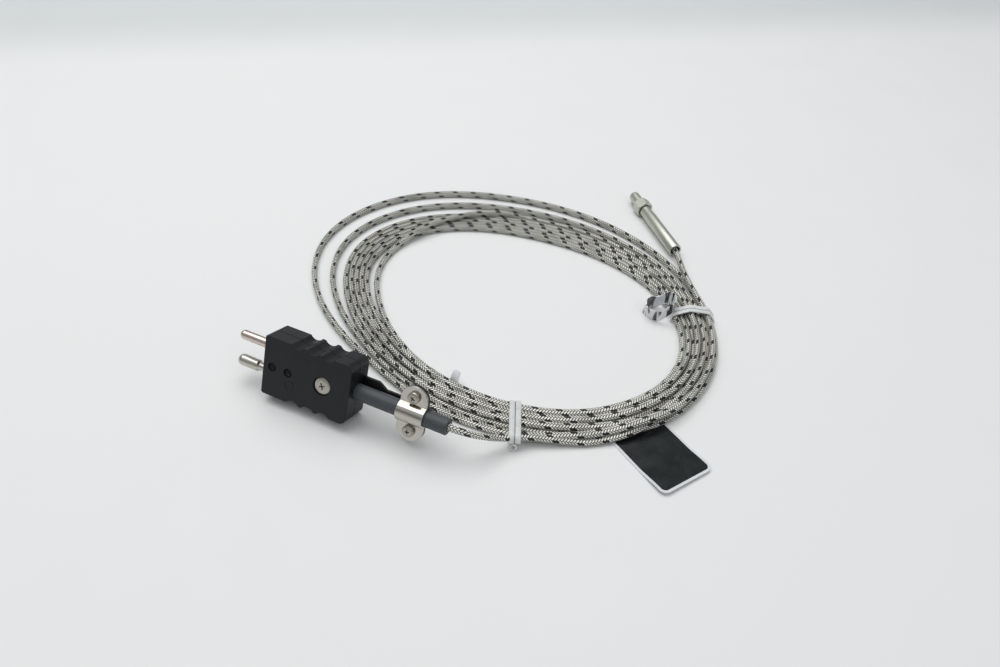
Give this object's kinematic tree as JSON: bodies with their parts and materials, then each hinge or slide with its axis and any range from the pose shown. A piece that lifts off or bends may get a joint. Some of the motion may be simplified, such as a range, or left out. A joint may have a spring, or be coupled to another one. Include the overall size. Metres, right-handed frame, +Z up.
{
  "type": "thermocouple",
  "caption": "Thermocouple probe with a swivelling threaded fitting, a coiled flat metal-braided lead, a two-pin plug with a cable clamp, wire ties and a tag.",
  "frame": {"origin": "on the table, under the middle of the plug, its sleeve and its clamp", "axes": "+X from the pins along the sleeve to the cable, +Z up, +Y from the plug towards the coil"},
  "size_m": [0.2119, 0.2171, 0.0282],
  "materials": {
    "plug_body": "satin black glass-filled thermoplastic",
    "screw_steel": "nickel-plated steel",
    "insert_brass": "plain brass",
    "positive_alloy": "slightly pink nickel alloy",
    "negative_alloy": "slightly yellow nickel alloy",
    "sleeve_rubber": "dark grey rubber tube",
    "strap_black": "black coated strip",
    "clamp_steel": "bright nickel-plated strip",
    "cable_braid": "stainless wire overbraid with a black tracer",
    "tie_vinyl": "clear to white vinyl",
    "tag_card": "laminated black card with a white border",
    "probe_steel": "turned stainless steel",
    "probe_ceramic": "unglazed ceramic"
  },
  "bodies": {
    "plug_and_lead": {"connector_base": "plug_body", "cover_insert": "insert_brass", "positive_pin": "positive_alloy", "negative_pin": "negative_alloy", "terminal_washers": "screw_steel", "positive_wire": "positive_alloy", "negative_wire": "negative_alloy", "rubber_sleeve": "sleeve_rubber", "cable_root": "cable_braid", "clamp_strap": "strap_black", "cable_lead": "cable_braid", "cable_coil": "cable_braid", "cable_tail": "cable_braid", "front_tie": "tie_vinyl", "rear_tie": "tie_vinyl", "label_band": "tie_vinyl", "tag": "tag_card", "probe_barrel": "probe_steel", "probe_insulator": "probe_ceramic", "probe_wires": "positive_alloy", "sensing_junction": "negative_alloy"},
    "cover": {"connector_cover": "plug_body"},
    "cover_screw": {"cover_screw": "screw_steel"},
    "positive_terminal": {"positive_terminal_screw": "screw_steel"},
    "negative_terminal": {"negative_terminal_screw": "screw_steel"},
    "saddle": {"clamp_saddle": "clamp_steel"},
    "upper_screw": {"upper_clamp_screw": "screw_steel"},
    "lower_screw": {"lower_clamp_screw": "screw_steel"},
    "fitting": {"probe_fitting": "probe_steel"}
  },
  "joints": [
    {"name": "cover_lift", "type": "slide", "parent": "plug_and_lead", "child": "cover", "axis": [0, -0.9397, 0.342], "range_m": [0, 0.02]},
    {"name": "cover_screw_turn", "type": "hinge", "parent": "cover", "child": "cover_screw", "pos_m": [-0.00434, -0.0047, 0.01583], "axis": [0, -0.9397, 0.342], "continuous": true},
    {"name": "positive_terminal_turn", "type": "hinge", "parent": "plug_and_lead", "child": "positive_terminal", "pos_m": [-0.01975, -0.00092, 0.02036], "axis": [0, -0.9397, 0.342], "continuous": true},
    {"name": "negative_terminal_turn", "type": "hinge", "parent": "plug_and_lead", "child": "negative_terminal", "pos_m": [-0.01975, -0.00472, 0.00993], "axis": [0, -0.9397, 0.342], "continuous": true},
    {"name": "saddle_lift", "type": "slide", "parent": "plug_and_lead", "child": "saddle", "axis": [0, -0.9397, 0.342], "range_m": [0, 0.012]},
    {"name": "upper_clamp_screw_turn", "type": "hinge", "parent": "saddle", "child": "upper_screw", "pos_m": [0.03215, 0.00152, 0.02123], "axis": [0, -0.9397, 0.342], "continuous": true},
    {"name": "lower_clamp_screw_turn", "type": "hinge", "parent": "saddle", "child": "lower_screw", "pos_m": [0.03215, -0.0034, 0.0077], "axis": [0, -0.9397, 0.342], "continuous": true},
    {"name": "fitting_swivel", "type": "hinge", "parent": "plug_and_lead", "child": "fitting", "pos_m": [0.06319, 0.19598, 0.00397], "axis": [-0.6639, 0.7478, 0], "continuous": true}
  ]
}
